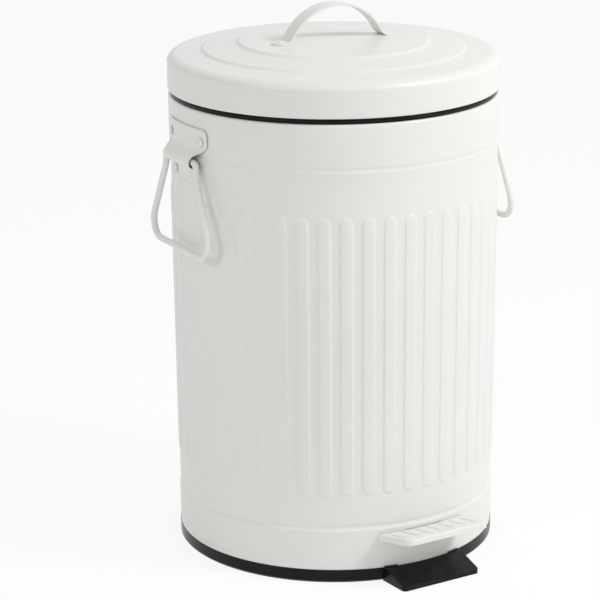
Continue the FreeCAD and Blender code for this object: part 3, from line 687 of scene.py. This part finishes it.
def plate_half(rise):
    # Half width of the plate's front outline at a height over the wire.
    if rise > FLANGE_TOP - PLATE_CORNER:
        up = rise - (FLANGE_TOP - PLATE_CORNER)
        return FLANGE_HALF - PLATE_CORNER + math.sqrt(max(PLATE_CORNER ** 2 - up ** 2, 0.0))
    if rise < PLATE_CORNER - TAB_LOW:
        down = PLATE_CORNER - TAB_LOW - rise
        return TAB_HALF - PLATE_CORNER + math.sqrt(max(PLATE_CORNER ** 2 - down ** 2, 0.0))
    if rise < -SADDLE_FALL:
        return TAB_HALF
    run = SHOULDER_RISE - NECK_RISE + 2 * SWEEP_MARGIN
    sweep = ease((rise - NECK_RISE + SWEEP_MARGIN) / run)
    return SADDLE_HALF + (FLANGE_HALF - SADDLE_HALF) * sweep


def bracket(name, node, facing):
    # The plate hugs the wall where it lies on it and runs straight where it rolls over the wire.
    verts = []
    line = plate_line()
    for p in line:
        half = plate_half(p.z - BAIL_Z)
        wall = body_radius(p.z) + PLATE_THICK
        lift = p.x - wall
        flat = ease(lift / FLAT_RUN)
        for y in steps(-half, half, PLATE_COLUMNS - 1):
            hug = math.sqrt(wall ** 2 - y ** 2) + lift
            verts.append(turned((hug * (1 - flat) + p.x * flat, y, p.z), facing))
    faces = grid_faces(len(line), PLATE_COLUMNS)
    obj = piece(name, verts, faces, "bin", "white_paint", node)
    thicken(obj, PLATE_THICK - PLATE_LIFT)
    soften(obj, PLATE_EDGE)


def rivet_profile(grip):
    # Half outline along the rivet's axis, as (radius, height over the plate), from crown to tail.
    ball = (RIVET_HEAD ** 2 + RIVET_DOME ** 2) / RIVET_DOME / 2
    end = -grip - RIVET_TAIL
    line = []
    for r in steps(0, RIVET_HEAD, 10):
        dome = RIVET_DOME - ball + math.sqrt(ball ** 2 - r ** 2)
        line.append((r, max(dome, RIVET_LIFT + RIVET_RIM)))
    line += [(RIVET_HEAD, RIVET_LIFT), (RIVET_SHANK, RIVET_LIFT), (RIVET_SHANK, -grip)]
    return line + [(RIVET_TAIL_RADIUS, -grip), (RIVET_TAIL_RADIUS, end), (0, end)]


def plate_rivets(name, node, facing):
    verts, faces = [], []
    grip = PLATE_THICK + EMBOSS + SHEET + 2 * RIVET_GAP
    shape, skin = lathe(rivet_profile(grip), RIVET_SEGMENTS)
    for side, rise in (UPPER_RIVET, LOWER_RIVET):
        z = BAIL_Z + rise
        seat = body_radius(z) + PLATE_THICK + RIVET_GAP
        for sign in (-1, 1):
            start = len(verts)
            bearing = facing + sign * side / body_radius(z)
            for x, y, out in shape:
                verts.append(turned((seat + out, x, z + y), bearing))
            faces += [tuple(start + k for k in face) for face in skin]
    obj = piece(name, verts, faces, "bin", "white_paint", node)
    outward(obj)
    sharpen(obj, RIVET_SHARP)


def wire_loop(name, node, body, facing):
    path = [(Vector((0, y, z)), bend) for y, z, bend in BAIL_LEG]
    path += [(Vector((0, -p.y, p.z)), bend) for p, bend in reversed(path)]
    line = dense(rounded(path, closed=True, step=WIRE_STEP), WIRE_GAP, closed=True)
    verts, faces = [], []
    count = len(line)
    side = Vector((1, 0, 0))
    lean = Matrix.Rotation(-BAIL_LEAN, 3, "Y")
    for k, p in enumerate(line):
        ahead = (line[(k + 1) % count] - line[k - 1]).normalized()
        up = side.cross(ahead).normalized()
        for j in range(WIRE_SEGMENTS):
            a = 2 * math.pi * j / WIRE_SEGMENTS
            v = lean @ (p + (side * math.cos(a) + up * math.sin(a)) * WIRE)
            verts.append(turned((BAIL_X + v.x, v.y, BAIL_Z + v.z), facing))
    for k in range(count):
        n = (k + 1) % count
        for j in range(WIRE_SEGMENTS):
            m = (j + 1) % WIRE_SEGMENTS
            corners = ((k, j), (n, j), (n, m), (k, m))
            faces.append(tuple(i * WIRE_SEGMENTS + s for i, s in corners))
    outward(piece(name, verts, faces, body, "white_paint", node))


for label, facing in (("right", HANDLE_TURN), ("left", HANDLE_TURN + math.pi)):
    bracket(label + "_saddle", label + "_bracket", facing)
    plate_rivets(label + "_rivets", label + "_bracket_rivets", facing)
    wire_loop(label + "_wire", label + "_bail", label + "_bail", facing)


# Floor, light and camera; lengths of the camera's place are in metres, its angles in radians

PHOTO_TURN = math.radians(33.2)
CAMERA_REACH = 1.996438
CAMERA_HEIGHT = 0.768160
CAMERA_PITCH = 0.2842250
CAMERA_YAW = -0.0133660
CAMERA_ROLL = -0.0078036
SENSOR = 36.0
IMAGE_WIDTH = 600
FOCAL_PIXELS = 2695.79
CLIP_END = 100.0


def shown_directly(tree):
    # One for camera, glossy and transmission rays, zero for the rays that carry light.
    path = tree.nodes.new("ShaderNodeLightPath")
    seen = path.outputs["Is Camera Ray"]
    for name in ("Is Glossy Ray", "Is Transmission Ray"):
        most = tree.nodes.new("ShaderNodeMath")
        most.operation = "MAXIMUM"
        tree.links.new(seen, most.inputs[0])
        tree.links.new(path.outputs[name], most.inputs[1])
        seen = most.outputs["Value"]
    return seen


def studio_world(strength):
    world = bpy.data.worlds.new("studio")
    bpy.context.scene.world = world
    world.use_nodes = True
    tree = world.node_tree
    tree.nodes.clear()
    out = tree.nodes.new("ShaderNodeOutputWorld")
    mix = tree.nodes.new("ShaderNodeMixShader")
    for k, level in ((1, strength), (2, 1.0)):
        sky = tree.nodes.new("ShaderNodeBackground")
        sky.inputs["Color"].default_value = (1.0, 1.0, 1.0, 1.0)
        sky.inputs["Strength"].default_value = level
        tree.links.new(sky.outputs["Background"], mix.inputs[k])
    tree.links.new(shown_directly(tree), mix.inputs["Fac"])
    tree.links.new(mix.outputs["Shader"], out.inputs["Surface"])


def studio_floor(half, grey, white):
    # Pale paper that carries the shadow; white is the share of plain white that the camera sees
    # in it.
    mesh = bpy.data.meshes.new("floor")
    corners = [(-half, -half, 0), (half, -half, 0), (half, half, 0), (-half, half, 0)]
    mesh.from_pydata(corners, [], [(0, 1, 2, 3)])
    floor = bpy.data.objects.new("floor", mesh)
    bpy.context.scene.collection.objects.link(floor)
    mat = bpy.data.materials.new("floor_paper")
    mat.use_nodes = True
    tree = mat.node_tree
    tree.nodes.clear()
    out = tree.nodes.new("ShaderNodeOutputMaterial")
    paper = tree.nodes.new("ShaderNodeBsdfDiffuse")
    paper.inputs["Color"].default_value = (grey, grey, grey, 1.0)
    glow = tree.nodes.new("ShaderNodeEmission")
    mix = tree.nodes.new("ShaderNodeMixShader")
    share = tree.nodes.new("ShaderNodeMath")
    share.operation = "MULTIPLY"
    share.inputs[1].default_value = white
    tree.links.new(shown_directly(tree), share.inputs[0])
    tree.links.new(share.outputs["Value"], mix.inputs["Fac"])
    tree.links.new(paper.outputs["BSDF"], mix.inputs[1])
    tree.links.new(glow.outputs["Emission"], mix.inputs[2])
    tree.links.new(mix.outputs["Shader"], out.inputs["Surface"])
    mesh.materials.append(mat)


def softbox(name, turn, rise, reach, size, power):
    # A square area lamp that faces the body's middle. Turn is its bearing to the right of the
    # photo's line of sight and rise its elevation, in degrees; reach and size are in metres.
    lamp = bpy.data.lights.new(name, "AREA")
    lamp.shape = "SQUARE"
    lamp.size = size
    lamp.energy = power
    obj = bpy.data.objects.new(name, lamp)
    bpy.context.scene.collection.objects.link(obj)
    a, e = math.radians(turn) - PHOTO_TURN, math.radians(rise)
    away = Vector((math.sin(a) * math.cos(e), -math.cos(a) * math.cos(e), math.sin(e)))
    obj.location = Vector((0, 0, BODY_HEIGHT * MM / 2)) + away * reach
    obj.rotation_euler = away.to_track_quat("Z", "Y").to_euler()


def photo_camera():
    data = bpy.data.cameras.new("photo_camera")
    data.sensor_width = SENSOR
    data.lens = FOCAL_PIXELS / IMAGE_WIDTH * SENSOR
    data.clip_end = CLIP_END
    camera = bpy.data.objects.new("photo_camera", data)
    bpy.context.scene.collection.objects.link(camera)
    p, y, r = CAMERA_PITCH, CAMERA_YAW, CAMERA_ROLL
    ahead = Vector((math.sin(y) * math.cos(p), math.cos(y) * math.cos(p), -math.sin(p)))
    right = Vector((math.cos(y), -math.sin(y), 0))
    up = Vector((math.sin(y) * math.sin(p), math.cos(y) * math.sin(p), math.cos(p)))
    x_axis = right * math.cos(r) + up * math.sin(r)
    y_axis = up * math.cos(r) - right * math.sin(r)
    place = Matrix((x_axis, y_axis, -ahead)).transposed().to_4x4()
    place.translation = Vector((0, -CAMERA_REACH, CAMERA_HEIGHT))
    camera.matrix_world = Matrix.Rotation(-PHOTO_TURN, 4, "Z") @ place
    bpy.context.scene.camera = camera


studio_world(strength=0.54)
studio_floor(half=12.0, grey=0.98, white=0.88)
softbox("key", turn=70, rise=43, reach=1.8, size=0.5, power=15.3)
softbox("fill", turn=-42, rise=25, reach=2.0, size=0.4, power=4.2)
photo_camera()
bpy.context.scene.view_settings.view_transform = "Standard"
